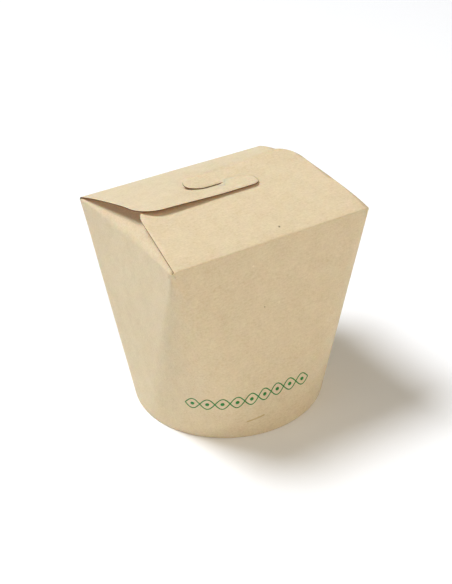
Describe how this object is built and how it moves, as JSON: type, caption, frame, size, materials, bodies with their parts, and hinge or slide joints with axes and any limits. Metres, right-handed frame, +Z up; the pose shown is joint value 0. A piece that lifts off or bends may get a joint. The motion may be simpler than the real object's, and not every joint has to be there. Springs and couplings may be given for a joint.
{
  "type": "noodle takeaway box",
  "caption": "Shut kraft-board noodle takeaway box: round foot, walls that pass to a rectangular rim, and a low gable of interlocked flaps.",
  "frame": {"origin": "on the table, at the middle of the round foot", "axes": "+X along the long folds of the rim, to the right as seen from the front; +Y to the back; +Z up"},
  "size_m": [0.1028, 0.0946, 0.1125],
  "materials": {
    "kraft_board": "uncoated, faintly mottled brown kraft board with soft rounded folds",
    "kraft_disc": "uncoated brown kraft board disc",
    "green_print": "thin matt green print on the board"
  },
  "bodies": {
    "root": {"carton": "kraft_board", "base_disc": "kraft_disc"}
  },
  "joints": []
}
